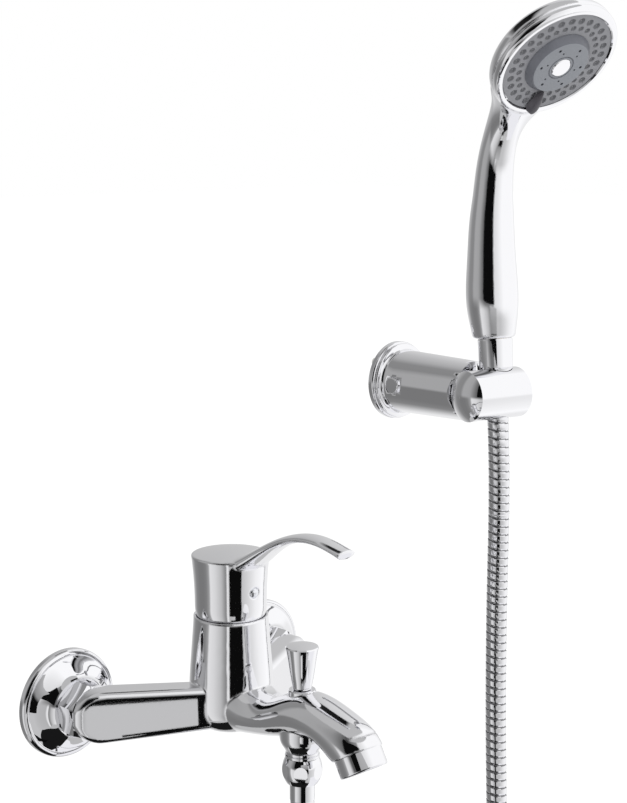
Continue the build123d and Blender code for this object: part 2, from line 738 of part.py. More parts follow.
with BuildPart() as plugs:
    with BuildSketch(holder_wall):
        with GridLocations(1, anchor_spacing, 1, 2):
            Circle(anchor_r)
    extrude(amount=-anchor_depth)
    add(screw_blanks.part, mode=Mode.SUBTRACT)
save(plugs, "wall_plugs")

with BuildPart() as holder_plate:
    with BuildSketch(holder_wall):
        Circle(plate_r)
    extrude(amount=plate_t)
    with BuildSketch(holder_wall.offset(plate_t)):
        Circle(spigot_r)
    extrude(amount=spigot_end - plate_t)
    add(screw_blanks.part, mode=Mode.SUBTRACT)
save(holder_plate, "holder_plate")

# tongue: a flat eye that the tilting head turns on, let into the arm's end
tongue_x, tongue_t, eye_r, hub_r = -12.0, 5.8, 8.0, 5.0
with BuildPart() as tongue:
    with BuildSketch(across(tongue_x)):
        Circle(eye_r)
        with Locations((15, 0)):
            Rectangle(30, 12)
        Circle(hub_r + gap, mode=Mode.SUBTRACT)
    extrude(amount=tongue_t)
save(tongue, "holder_tongue")

with BuildPart() as holder_arm:
    with BuildSketch(holder_plan):
        with BuildLine():
            Line((0, -arm_tip), (20, -arm_tip))
            Line((20, -arm_tip), (21.25, -10))
            Spline((21.25, -10), (22.4, -7.6), (24.2, -6.9), tangents=[(0.02, 1), (1, 0.1)])
            ThreePointArc((24.2, -6.9), (25.4, -5.7), (24.6, -4.4))
            ThreePointArc((24.6, -4.4), (26.1, -3.8), (26.5, -2.2))
            Polyline(
                (26.5, -2.2),
                (26.5, 0),
                (plate_r, 0),
                (plate_r, -plate_t),
                (19, -plate_t - 0.2),
                (19, -9),
                (spigot_r, -9),
                (spigot_r, -spigot_end),
                (0, -spigot_end),
                (0, -arm_tip),
            )
        make_face()
    revolve(axis=Axis((holder_x, 0, holder_z), (0, 1, 0)))
    with BuildSketch(across(-40)):
        Circle(saddle_r)
    extrude(amount=80, mode=Mode.SUBTRACT)
    add(tongue.part, mode=Mode.SUBTRACT)
    # notch in the upper lip, so the handset's cone nut can lean back
    with BuildSketch(held(0, 12)):
        Circle(nut_room_r)
    notch = extrude(amount=20, mode=Mode.PRIVATE)
    add(notch, mode=Mode.SUBTRACT)
    add(notch.rotate(tilt_axis, tilt_low), mode=Mode.SUBTRACT)
    with BuildSketch(holder_side.offset(spigot_r)):
        Circle(cap_screw_r)
    extrude(amount=20, mode=Mode.SUBTRACT)
    with BuildSketch(holder_side.offset(cover_seat)):
        Circle(cover_r)
    extrude(amount=20, mode=Mode.SUBTRACT)
save(holder_arm, "holder_arm")

with BuildPart() as arm_screw:
    with BuildSketch(holder_side.offset(spigot_r)):
        Circle(cap_screw_r)
    extrude(amount=6)
    with BuildSketch(holder_side.offset(spigot_r + 6)):
        RegularPolygon(1.25, 6, major_radius=False)
    extrude(amount=-2.5, mode=Mode.SUBTRACT)
save(arm_screw, "arm_grub_screw")

with BuildPart() as screw_cap:
    with BuildSketch(holder_side.offset(cover_seat)):
        Circle(cover_r)
    extrude(amount=5)
    fillet(screw_cap.edges().filter_by(GeomType.CIRCLE).sort_by(Axis.X)[0], radius=0.8)
save(screw_cap, "arm_screw_cap")

# ---- tilting socket head ------------------------------------------------------------------------
head_r, head_half, head_flat = 16.5, 26.5, 20.5
split_x, cap_room_r, cap_room_x, clip_x = -5.0, 12.5, -17.0, -5.9
socket_mid_r, socket_taper = 9.55, 0.0758

with BuildPart() as socket_head:
    with BuildSketch(head_section):
        with BuildLine():
            Polyline(
                (head_half, 0),
                (-12.1, 0),
                (-12.1, hub_r),
                (split_x, hub_r),
                (split_x, 10.8),
                (clip_x, 10.8),
                (clip_x, cap_room_r),
                (split_x, cap_room_r),
                (split_x, head_r),
                (head_flat, head_r),
            )
            TangentArc((head_half, 0), (head_flat, head_r), tangent=(0, 1))
        make_face()
    revolve(axis=tilt_axis)
    with BuildSketch(across(-12.1)):
        Circle(2.0)
    extrude(amount=6, mode=Mode.SUBTRACT)
    with BuildSketch(held(0, -22)):
        Circle(socket_mid_r - 22 * socket_taper)
    with BuildSketch(held(0, 22)):
        Circle(socket_mid_r + 22 * socket_taper)
    loft(mode=Mode.SUBTRACT)
save(socket_head, "holder_head")

# hollow cap; its slot lets the tongue pass over the whole tilt range
slot_up, slot_down = radians(31 - tilt_low), radians(31 + tilt_high)
with BuildPart() as head_cap:
    with BuildSketch(head_section):
        with BuildLine():
            TangentArc((-head_half, 0), (-head_flat, head_r), tangent=(0, 1))
            Polyline(
                (-head_flat, head_r),
                (split_x, head_r),
                (split_x, cap_room_r),
                (cap_room_x, cap_room_r),
                (cap_room_x, 0),
                (-head_half, 0),
            )
        make_face()
    revolve(axis=tilt_axis)
    with BuildSketch(across(tongue_x - 0.4)):
        Polygon(
            (0, 0),
            (30 * cos(slot_down), -30 * sin(slot_down)),
            (30, -30 * tan(slot_down / 2)),
            (30, 30 * tan(slot_up / 2)),
            (30 * cos(slot_up), 30 * sin(slot_up)),
        )
    extrude(amount=split_x - tongue_x + 0.4, mode=Mode.SUBTRACT)
save(head_cap, "head_cap")

with BuildPart() as friction_washer:
    with BuildSketch(across(tongue_x + tongue_t)):
        Circle(9)
        Circle(hub_r, mode=Mode.SUBTRACT)
    extrude(amount=split_x - tongue_x - tongue_t)
save(friction_washer, "friction_washer")

with BuildPart() as pivot_screw:
    with BuildSketch(across(-12.1)):
        Circle(7)
    extrude(amount=-2.8)
    with BuildSketch(across(-14.9)):
        RegularPolygon(2, 6, major_radius=False)
    extrude(amount=1.8, mode=Mode.SUBTRACT)
    with BuildSketch(across(-12.1)):
        Circle(2.0)
    extrude(amount=6)
save(pivot_screw, "pivot_screw")

# ---- handset ------------------------------------------------------------------------------------
stem_section = Plane(origin=stem_origin, x_dir=tilt_x, z_dir=stem_front)
stem_line = Axis(stem_origin, stem_axis)
cone_low, cone_top, web_top = 8.5, 35.9, 12.0
inlet_thread_r, inlet_low, shell_low, inlet_top = 9.0, 16.0, 36.0, 50.0
upper_neck_r = 7.25

with BuildPart() as cone_nut:
    with BuildSketch(stem_section):
        with BuildLine():
            Polyline(
                (upper_neck_r, cone_low),
                (8.5, cone_low),
                (10.55, 16),
                (11.1, 17.2),
                (11.4, 34.6),
                (11.0, cone_top),
                (inlet_thread_r, cone_top),
                (inlet_thread_r, web_top),
                (upper_neck_r, web_top),
                close=True,
            )
        make_face()
    revolve(axis=stem_line)
save(cone_nut, "cone_nut")

with BuildPart() as upper_ferrule:
    with BuildSketch(held(0, cone_low)):
        Circle(upper_neck_r)
    extrude(amount=web_top - cone_low)
    with BuildSketch(held(0, web_top)):
        Circle(inlet_thread_r)
    extrude(amount=2)
    with BuildSketch(held(0, cone_low)):
        Circle(hose_bore_r)
    extrude(amount=20, mode=Mode.SUBTRACT)
save(upper_ferrule, "upper_ferrule")

with BuildPart() as upper_washer:
    with BuildSketch(held(0, web_top + 2)):
        Circle(inlet_thread_r)
        Circle(hose_bore_r, mode=Mode.SUBTRACT)
    extrude(amount=inlet_low - web_top - 2)
save(upper_washer, "upper_washer")

with BuildPart() as handset_inlet:
    with BuildSketch(held(0, inlet_low)):
        Circle(inlet_thread_r)
    extrude(amount=shell_low - inlet_low)
    with BuildSketch(held(0, shell_low)):
        Circle(8)
    extrude(amount=inlet_top - shell_low)
    with BuildSketch(held(0, inlet_low)):
        Circle(5)
    extrude(amount=40, mode=Mode.SUBTRACT)
save(handset_inlet, "handset_inlet")

# handle sections: in front of the axis, up the axis, bend, half width, half depth
handle_sections = [
    (-1.2, 36.0, 0.0, 14.0, 14.0),
    (-1.3, 48.0, 0.0, 15.8, 15.8),
    (-1.4, 61.4, 0.0, 17.0, 17.0),
    (-0.9, 80.0, 2.0, 16.3, 16.3),
    (0.1, 100.0, 4.0, 15.1, 15.1),
    (2.9, 125.0, 8.0, 13.2, 13.2),
    (7.2, 148.0, 17.0, 11.8, 11.8),
    (13.7, 165.0, 31.0, 11.2, 11.2),
    (20.5, 175.3, 42.0, 12.6, 11.5),
    (30.0, 184.3, 46.0, 18.5, 11.5),
    (44.0, 197.0, 47.6, 29.0, 11.0),
]
face_t, face_w = 70.7, 204.2
face_tilt = 47.56  # the face looks forward and this far down from the handset's front
face_seam, face_r, face_rim_r, plate_face_r = 5.0, 41.8, 39.5, 36.9
face_s, face_c = sin(radians(face_tilt)), cos(radians(face_tilt))
face_out = stem_front * face_c - stem_axis * face_s
face_up = stem_front * face_s + stem_axis * face_c
face_centre = stem_origin + stem_front * face_t + stem_axis * face_w
face_line = Axis(face_centre, face_out)
face_section = Plane(origin=face_centre, x_dir=tilt_x, z_dir=face_up * -1)


def behind(depth):
    """A plane parallel to the spray face and behind it; its own y points up the face."""
    return Plane(origin=face_centre - face_out * depth, x_dir=tilt_x, z_dir=face_out)


with BuildPart() as shell:
    for t, w, bend, half_w, half_d in handle_sections:
        with BuildSketch(held(t, w, bend)):
            Ellipse(half_w, half_d)
    loft()
    fillet(shell.edges().sort_by(Axis.Z)[0], radius=2.5)
    with BuildSketch(face_section):
        with BuildLine():
            Polyline((0, -25), (0, -face_seam), (41.2, -face_seam), (face_r, -face_seam - 0.7))
            Spline(
                (face_r, -face_seam - 0.7),
                (41.3, -10),
                (36, -16.2),
                (22, -21.8),
                (0, -25),
                tangents=[(0, -1), (-1, 0)],
            )
        make_face()
    revolve(axis=face_line)
    # the face ring's seat, and the water chamber behind the spray plate
    with BuildSketch(behind(face_seam)):
        Circle(face_r + 0.2)
    extrude(amount=face_seam + 5, mode=Mode.SUBTRACT)
    with BuildSketch(behind(face_seam)):
        Circle(34)
    extrude(amount=-7, mode=Mode.SUBTRACT)
    with BuildSketch(held(0, shell_low - 5)):
        Circle(8)
    extrude(amount=inlet_top - shell_low + 5, mode=Mode.SUBTRACT)
save(shell, "handset_shell")

with BuildPart() as face_ring:
    with BuildSketch(face_section):
        with BuildLine():
            Polyline(
                (plate_face_r, -face_seam),
                (41.2, -face_seam),
                (face_r, -face_seam + 0.7),
            )
            ThreePointArc((face_r, -face_seam + 0.7), (41.2, -1.4), (face_rim_r, 0))
            Polyline(
                (face_rim_r, 0),
                (37.6, 0),
                (plate_face_r, -0.7),
                (plate_face_r, -face_seam),
            )
        make_face()
    revolve(axis=face_line)
save(face_ring, "face_ring")

# spray plate with its outer and inner rings of nozzle dimples
plate_front, outer_ring_r, outer_count = 1.0, 31.5, 28
dial_bore_r = 6.0
with BuildPart() as spray_plate:
    with BuildSketch(behind(face_seam)):
        Circle(plate_face_r)
        Circle(dial_bore_r + gap, mode=Mode.SUBTRACT)
    extrude(amount=face_seam - plate_front)
    with BuildSketch(behind(plate_front)):
        with PolarLocations(outer_ring_r, outer_count):
            RegularPolygon(2.1, 8)
    extrude(amount=-1.0, mode=Mode.SUBTRACT)
save(spray_plate, "spray_plate")

# selector dial: a low truncated cone with a tab that reaches over the face ring
dial_base_r, dial_top_r, dial_high = 22.0, 20.0, 4.0
with BuildPart() as dial:
    with BuildSketch(behind(plate_front - 0.1)):
        Circle(dial_base_r)
    with BuildSketch(behind(plate_front - 0.1 - dial_high)):
        Circle(dial_top_r)
    loft()
    with BuildSketch(behind(-0.4)):
        with BuildLine():
            Polyline((-9, -15), (9, -15), (5.2, -36))
            ThreePointArc((5.2, -36), (0, -41.5), (-5.2, -36))
            Line((-5.2, -36), (-9, -15))
        make_face()
    extrude(amount=2.2)
    with BuildSketch(behind(plate_front - 0.1)):
        Circle(dial_bore_r)
    extrude(amount=-7)
    with BuildSketch(behind(-dial_high + 2)):
        Circle(6.5)
    extrude(amount=10, mode=Mode.SUBTRACT)
save(dial, "selector_dial")

with BuildPart() as centre_button:
    with BuildSketch(behind(-dial_high + 2)):
        Circle(6.5)
    extrude(amount=2.6)
    chamfer(centre_button.edges().filter_by(GeomType.CIRCLE).sort_by(Axis.Z)[0], length=0.6)
save(centre_button, "centre_button")

# ---- shower hose --------------------------------------------------------------------------------
# One hanging length from the cone nut, down in a wide loop, and up to the outlet's ferrule.
hose_points = [
    tuple(stem_origin + stem_axis * cone_low),
    tuple(stem_origin - stem_axis * 30),
    (210.8, -88.9, 94.0),
    (211.6, -87.4, 19.0),
    (210.8, -89.2, -56.0),
    (210.0, -92.4, -121.0),
    (209.2, -95.2, -205.0),
    (207.5, -98.6, -285.0),
    (204.5, -101.0, -345.0),
    (195.0, -103.5, -396.0),
    (162.0, -107.5, -435.0),
    (114.0, -111.5, -453.0),
    (66.0, -116.0, -445.0),
    (26.0, -119.0, -414.0),
    (5.0, -121.5, -365.0),
    (1.5, -123.3, -300.0),
    (0.5, -124.2, -225.0),
    (0.8, -125.4, -150.0),
    (0.0, tower_y - diverter_s, -90.0),
    (0.0, tower_y - diverter_s, mixer_z + hose_low_z),
]
hose_radii = []
for before, corner, after in zip(hose_points, hose_points[1:], hose_points[2:]):
    run_in = Vector(*corner) - Vector(*before)
    run_out = Vector(*after) - Vector(*corner)
    half_turn = radians(run_in.get_angle(run_out)) / 2
    hose_radii.append(0.45 * min(run_in.length, run_out.length) / tan(half_turn))
print("hose bend radii:", [round(radius) for radius in hose_radii])

with BuildPart() as hose:
    with BuildLine() as hose_line:
        FilletPolyline(*hose_points, radius=hose_radii)
    with BuildSketch(Plane(origin=hose_line.line @ 0, z_dir=hose_line.line % 0)):
        Circle(hose_r)
    sweep(path=hose_line.line)
save(hose, "shower_hose")
hose_length = hose_line.wires()[0].length
print("hose length:", round(hose_length, 1))
print("hose volume against section x length:", hose.part.volume / (pi * hose_r**2 * hose_length))
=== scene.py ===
import json
from math import cos, pi, radians, sin

import bmesh
import bpy
from mathutils import Matrix, Vector


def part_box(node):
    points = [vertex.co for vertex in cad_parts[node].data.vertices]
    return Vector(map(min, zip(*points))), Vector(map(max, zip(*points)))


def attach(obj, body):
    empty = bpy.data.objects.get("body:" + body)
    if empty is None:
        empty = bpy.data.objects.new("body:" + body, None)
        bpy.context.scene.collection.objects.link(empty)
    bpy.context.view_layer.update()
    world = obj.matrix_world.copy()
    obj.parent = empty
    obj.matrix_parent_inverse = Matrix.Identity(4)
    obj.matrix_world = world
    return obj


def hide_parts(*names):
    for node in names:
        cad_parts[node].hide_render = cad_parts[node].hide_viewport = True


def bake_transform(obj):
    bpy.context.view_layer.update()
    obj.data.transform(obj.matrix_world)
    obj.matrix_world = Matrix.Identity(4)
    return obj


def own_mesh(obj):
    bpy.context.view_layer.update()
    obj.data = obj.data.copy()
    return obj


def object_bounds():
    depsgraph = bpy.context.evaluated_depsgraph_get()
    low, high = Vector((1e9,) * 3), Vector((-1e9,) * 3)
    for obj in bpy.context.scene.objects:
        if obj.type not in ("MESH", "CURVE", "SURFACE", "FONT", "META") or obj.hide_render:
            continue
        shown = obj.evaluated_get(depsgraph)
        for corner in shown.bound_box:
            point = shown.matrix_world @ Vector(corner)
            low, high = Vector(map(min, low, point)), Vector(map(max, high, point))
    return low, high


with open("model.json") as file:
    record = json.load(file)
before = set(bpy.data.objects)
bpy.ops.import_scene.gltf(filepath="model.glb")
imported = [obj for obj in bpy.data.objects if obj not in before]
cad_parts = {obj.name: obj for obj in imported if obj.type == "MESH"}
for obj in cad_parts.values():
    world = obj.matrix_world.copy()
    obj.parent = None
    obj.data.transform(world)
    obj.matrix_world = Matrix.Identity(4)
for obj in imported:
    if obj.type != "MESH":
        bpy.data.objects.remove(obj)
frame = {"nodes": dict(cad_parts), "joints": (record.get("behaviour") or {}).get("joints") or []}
cad_low, cad_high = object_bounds()
nodes = frame["nodes"]

# ---- Studio: floor, white surround, cards and camera --------------------------------------------
# A pale floor under the hanging hose and an even white surround. A painted wall stands round the
# set, out of view, with dark cards in front of it, because chrome only shows what faces it.
bpy.context.scene.view_settings.view_transform = "Standard"
MM = 0.001
mixer_mid = Vector((0.0, -63 * MM, 6 * MM))
floor_width, floor_gap = 30, 0.06
floor_grey, floor_light, floor_light_share = 0.94, 1.12, 0.85


def glow_paint(name, level):
    """An even grey of its own light, for the cards that chrome reflects."""
    paint = bpy.data.materials.new(name)
    paint.use_nodes = True
    tree = paint.node_tree
    tree.nodes.remove(tree.nodes["Principled BSDF"])
    glow = tree.nodes.new("ShaderNodeEmission")
    glow.inputs["Color"].default_value = (level, level, level * 1.03, 1)
    glow.inputs["Strength"].default_value = 1.0
    tree.links.new(glow.outputs[0], tree.nodes["Material Output"].inputs[0])
    return paint


floor_z = cad_low[2] - floor_gap
bpy.ops.object.select_all(action="DESELECT")
bpy.ops.mesh.primitive_plane_add(size=floor_width, location=(0, 0, floor_z))
floor = bpy.context.object
floor.name = "floor"
floor_paint = bpy.data.materials.new("floor_paint")
floor_paint.use_nodes = True
floor_tree = floor_paint.node_tree
floor_shader = floor_tree.nodes["Principled BSDF"]
floor_shader.inputs["Base Color"].default_value = (floor_grey, floor_grey, floor_grey, 1)
floor_shader.inputs["Roughness"].default_value = 0.9
floor_path = floor_tree.nodes.new("ShaderNodeLightPath")
floor_glow = floor_tree.nodes.new("ShaderNodeEmission")
floor_glow.inputs["Strength"].default_value = floor_light
floor_mix = floor_tree.nodes.new("ShaderNodeMixShader")
floor_share = floor_tree.nodes.new("ShaderNodeMath")
floor_share.operation = "MULTIPLY"
floor_share.inputs[1].default_value = floor_light_share
floor_tree.links.new(floor_path.outputs["Is Camera Ray"], floor_share.inputs[0])
floor_tree.links.new(floor_share.outputs[0], floor_mix.inputs[0])
floor_tree.links.new(floor_shader.outputs[0], floor_mix.inputs[1])
floor_tree.links.new(floor_glow.outputs[0], floor_mix.inputs[2])
floor_tree.links.new(floor_mix.outputs[0], floor_tree.nodes["Material Output"].inputs[0])
floor.data.materials.append(floor_paint)
floor.visible_glossy = False

# the surround is white to the eye, and a soft grey ceiling to the chrome
room_light, ceiling_light = 0.75, 0.54
world = bpy.data.worlds.new("studio_white")
bpy.context.scene.world = world
world.use_nodes = True
sky = world.node_tree
sky_path = sky.nodes.new("ShaderNodeLightPath")
seen_white = sky.nodes.new("ShaderNodeMath")
seen_white.operation = "MAXIMUM"
sky.links.new(sky_path.outputs["Is Camera Ray"], seen_white.inputs[0])
sky.links.new(sky_path.outputs["Is Transmission Ray"], seen_white.inputs[1])
sky_level = sky.nodes.new("ShaderNodeMapRange")
sky_level.inputs["To Min"].default_value = room_light
sky_level.inputs["To Max"].default_value = 1.0
sky.links.new(seen_white.outputs[0], sky_level.inputs["Value"])
ceiling_level = sky.nodes.new("ShaderNodeMix")
ceiling_level.inputs["B"].default_value = ceiling_light
sky.links.new(sky_path.outputs["Is Glossy Ray"], ceiling_level.inputs["Factor"])
sky.links.new(sky_level.outputs[0], ceiling_level.inputs["A"])
sky.links.new(ceiling_level.outputs["Result"], sky.nodes["Background"].inputs["Strength"])
sky.nodes["Background"].inputs["Color"].default_value = (1, 1, 1, 1)


def reflection_only(board):
    """Hides a card from everything but reflections."""
    board.visible_camera = False
    board.visible_shadow = False
    board.visible_diffuse = False
    board.visible_transmission = False


def card(name, middle, width, height, level, facing, fade=None):
    """A card that only reflections see, turned to face a point of the set.

    A fade is a list of (height along the card from 0 to 1, level) that its paint runs through.
    """
    bpy.ops.object.select_all(action="DESELECT")
    bpy.ops.mesh.primitive_plane_add(size=1, location=middle)
    board = bpy.context.object
    board.name = name
    board.scale = (width, height, 1)
    board.rotation_euler = (Vector(facing) - Vector(middle)).to_track_quat("Z", "Y").to_euler()
    paint = glow_paint(name + "_paint", level)
    board.data.materials.append(paint)
    if fade:
        tree = paint.node_tree
        rise = tree.nodes.new("ShaderNodeSeparateXYZ")
        tree.links.new(tree.nodes.new("ShaderNodeTexCoord").outputs["Generated"], rise.inputs[0])
        ramp = tree.nodes.new("ShaderNodeValToRGB")
        marks = ramp.color_ramp.elements
        marks[0].position, marks[1].position = fade[0][0], fade[-1][0]
        for share, _ in fade[1:-1]:
            marks.new(share)
        for mark, (_, grey) in zip(marks, fade):
            mark.color = (grey, grey, grey, 1)
        tree.links.new(rise.outputs["Y"], ramp.inputs["Fac"])
        tree.links.new(ramp.outputs["Color"], tree.nodes["Emission"].inputs["Color"])
    reflection_only(board)


def around(azimuth, distance, z):
    """A place at a compass angle round the mixer, 0 along +X and 90 into the wall."""
    turn = radians(azimuth)
    return (mixer_mid.x + distance * cos(turn), mixer_mid.y + distance * sin(turn), z)


def compass_ramp(tree, bearing, stops):
    """Levels of grey painted round the wall, each at a compass angle in degrees."""
    ramp = tree.nodes.new("ShaderNodeValToRGB")
    tree.links.new(bearing, ramp.inputs["Fac"])
    marks = ramp.color_ramp.elements
    for mark, (azimuth, level) in zip((marks[0], marks[1]), (stops[0], stops[-1])):
        mark.position = (azimuth + 180) / 360
        mark.color = (level, level, level, 1)
    for azimuth, level in stops[1:-1]:
        marks.new((azimuth + 180) / 360).color = (level, level, level, 1)
    return ramp.outputs["Color"]


# the wall below and above the mixer, as (compass angle, level of grey)
low_wall_stops = [
    (-180, 0.76), (-170, 0.66), (-160, 0.56), (-150, 0.34), (-144, 0.24), (-142, 0.90),
    (-138, 0.90), (-135, 0.50), (-115, 0.60), (-97, 0.60), (-70, 0.80), (-46, 1.00),
    (-15, 1.12), (5, 0.95), (50, 0.90), (80, 0.45), (96, 0.26), (117, 0.21),
    (135, 0.21), (147, 0.24), (158, 0.38), (163, 0.85), (180, 0.76),
]  # fmt: skip
high_wall_stops = [
    (-180, 0.14), (-168, 0.10), (-130, 0.30), (-124, 0.80), (-104, 0.92), (-80, 1.10),
    (0, 1.10), (30, 0.75), (50, 0.58), (77, 0.45), (98, 0.28), (118, 0.27),
    (128, 0.42), (142, 0.42), (156, 0.40), (172, 0.22), (180, 0.14),
]  # fmt: skip
wall_r, wall_height, wall_middle_z = 1.6, 4.5, 0.35
wall_fade_low, wall_fade_high = -0.49, -0.23
bpy.ops.object.select_all(action="DESELECT")
bpy.ops.mesh.primitive_cylinder_add(
    vertices=128,
    radius=wall_r,
    depth=wall_height,
    end_fill_type="NOTHING",
    location=(mixer_mid.x, mixer_mid.y, wall_middle_z),
)
wall = bpy.context.object
wall.name = "painted_wall"
wall_paint = glow_paint("wall_paint", 1.0)
wall_tree = wall_paint.node_tree
wall_place = wall_tree.nodes.new("ShaderNodeTexCoord")
wall_axes = wall_tree.nodes.new("ShaderNodeSeparateXYZ")
wall_angle = wall_tree.nodes.new("ShaderNodeMath")
wall_angle.operation = "ARCTAN2"
wall_bearing = wall_tree.nodes.new("ShaderNodeMapRange")
wall_bearing.inputs["From Min"].default_value = -pi
wall_bearing.inputs["From Max"].default_value = pi
wall_rise = wall_tree.nodes.new("ShaderNodeMapRange")
wall_rise.interpolation_type = "SMOOTHSTEP"
wall_rise.inputs["From Min"].default_value = wall_fade_low
wall_rise.inputs["From Max"].default_value = wall_fade_high
wall_tree.links.new(wall_place.outputs["Object"], wall_axes.inputs[0])
wall_tree.links.new(wall_axes.outputs["Y"], wall_angle.inputs[0])
wall_tree.links.new(wall_axes.outputs["X"], wall_angle.inputs[1])
wall_tree.links.new(wall_angle.outputs[0], wall_bearing.inputs["Value"])
wall_tree.links.new(wall_axes.outputs["Z"], wall_rise.inputs["Value"])
wall_level = wall_tree.nodes.new("ShaderNodeMix")
wall_level.data_type = "RGBA"
wall_tree.links.new(wall_rise.outputs[0], wall_level.inputs["Factor"])
low_ramp = compass_ramp(wall_tree, wall_bearing.outputs[0], low_wall_stops)
high_ramp = compass_ramp(wall_tree, wall_bearing.outputs[0], high_wall_stops)
wall_tree.links.new(low_ramp, wall_level.inputs[6])
wall_tree.links.new(high_ramp, wall_level.inputs[7])
wall_tree.links.new(wall_level.outputs[2], wall_tree.nodes["Emission"].inputs["Color"])
wall.data.materials.append(wall_paint)
reflection_only(wall)

pitch_black = 0.004
card_z = floor_z + 1 * MM
tower_fade = [(0.0, pitch_black), (0.42, pitch_black), (0.55, 0.30), (1.0, 0.50)]
head_fade = [(0.0, 0.54), (0.22, 0.02), (0.72, pitch_black), (1.0, 0.54)]
tower_aim = (mixer_mid.x, mixer_mid.y, 0.02)
# the dark band down the mixer's tower
card("black_card", around(-116, 0.42, 0.02), 0.29, 0.30, pitch_black, tower_aim, tower_fade)
# the dark band down the hand shower
card("black_side_card", (-0.914, -0.610, 0.62), 1.10, 0.98, pitch_black, (0.21, -0.086, 0.62))
# dark undersides, with a pale floor to the right of them
card("black_floor_card", (-0.125, -0.10, card_z), 0.41, 0.66, 0.01, (-0.125, -0.10, 0.0))
card("pale_floor_card", (0.38, -0.45, card_z), 0.60, 0.90, 0.95, (0.38, -0.45, 0.0))
# the dark bands of the diverter's knob and of the hose
card("black_knob_card", (-0.052, -0.232, -0.042), 0.060, 0.065, pitch_black, (0.0, -0.124, -0.02))
card("black_hose_card", (-0.096, -0.290, -0.345), 0.085, 0.49, pitch_black, (0.21, -0.12, -0.345))
# the dark upper edge of the spray head
head_aim = (0.225, -0.16, 0.42)
card("black_head_card", (0.145, 0.050, 0.620), 0.30, 0.26, pitch_black, head_aim, head_fade)
# the dark waist of the hose nut
card("black_nut_card", (-0.080, -0.239, -0.112), 0.11, 0.064, pitch_black, (0.0, -0.124, -0.04))

key_size, key_power, key_aim = 0.9, 9, Vector((0.1, -0.06, 0.1))
key = bpy.data.objects.new("key_light", bpy.data.lights.new("key_light", "AREA"))
bpy.context.scene.collection.objects.link(key)
key.data.shape = "DISK"
key.data.size = key_size
key.data.energy = key_power
key.location = (-0.5, -1.3, 1.5)
key.rotation_euler = (key_aim - key.location).to_track_quat("-Z", "Y").to_euler()
key.visible_glossy = False

camera_data = bpy.data.cameras.new("camera")
camera_data.lens = 76.1
camera_data.sensor_width = 36
camera = bpy.data.objects.new("camera", camera_data)
bpy.context.scene.collection.objects.link(camera)
bpy.context.scene.camera = camera
camera.location = (-0.6279, -0.7980, 0.3461)
camera_turn, camera_dip = radians(-43.39), radians(9.49)
level_look = cos(camera_dip)
look = Vector((-sin(camera_turn) * level_look, cos(camera_turn) * level_look, -sin(camera_dip)))
camera.rotation_euler = look.to_track_quat("-Z", "Y").to_euler()

# ---- Shower hose --------------------------------------------------------------------------------
# A rubber hose wound with a chromed metal strip, whose edges lock into one spiral groove. It hangs
# in one loop from the cone nut, through the holder's socket, to the ferrule under the mixer.
hose_r = 7 * MM
strip_pitch, crown_rise = 5.3 * MM, 0.07 * MM
groove_half, groove_power, groove_depth, groove_shade_from = 0.12, 1.2, 0.8 * MM, 0.3
upper_length = 88 * MM
hose_points = [
    (210.98, -84.51, 177.47),
    (210.37, -87.81, 139.11),
    (210.8, -88.9, 94.0),
    (211.6, -87.4, 19.0),
    (210.8, -89.2, -56.0),
    (210.0, -92.4, -121.0),
    (209.2, -95.2, -205.0),
    (207.5, -98.6, -285.0),
    (204.5, -101.0, -345.0),
    (195.0, -103.5, -396.0),
    (162.0, -107.5, -435.0),
    (114.0, -111.5, -453.0),
    (66.0, -116.0, -445.0),
    (26.0, -119.0, -414.0),
    (5.0, -121.5, -365.0),
    (1.5, -123.3, -300.0),
    (0.5, -124.2, -225.0),
    (0.8, -125.4, -150.0),
    (0.0, -124.5, -90.0),
    (0.0, -124.5, -38.0),
]


def polish_effect():
    """Soft haze and a very faint ripple, as buffed plating has. Shared by every bright finish."""
    group = bpy.data.node_groups.new("buffed_polish", "ShaderNodeTree")
    face = group.interface
    for label, value in (("Haze", 0.05), ("Spread", 0.03), ("Scale", 60.0)):
        socket = face.new_socket(name=label, in_out="INPUT", socket_type="NodeSocketFloat")
        socket.default_value = value
    face.new_socket(name="Roughness", in_out="OUTPUT", socket_type="NodeSocketFloat")
    face.new_socket(name="Ripple", in_out="OUTPUT", socket_type="NodeSocketFloat")
    entry = group.nodes.new("NodeGroupInput")
    leave = group.nodes.new("NodeGroupOutput")
    where = group.nodes.new("ShaderNodeTexCoord")
    cloud = group.nodes.new("ShaderNodeTexNoise")
    cloud.inputs["Detail"].default_value = 3
    fine = group.nodes.new("ShaderNodeTexNoise")
    fine.inputs["Scale"].default_value = 900
    spread = group.nodes.new("ShaderNodeMath")
    spread.operation = "MULTIPLY_ADD"
    links = group.links
    links.new(where.outputs["Object"], cloud.inputs["Vector"])
    links.new(where.outputs["Object"], fine.inputs["Vector"])
    links.new(entry.outputs["Scale"], cloud.inputs["Scale"])
    links.new(cloud.outputs["Fac"], spread.inputs[0])
    links.new(entry.outputs["Spread"], spread.inputs[1])
    links.new(entry.outputs["Haze"], spread.inputs[2])
    links.new(spread.outputs[0], leave.inputs["Roughness"])
    links.new(fine.outputs["Fac"], leave.inputs["Ripple"])
    return group


buffed = polish_effect()


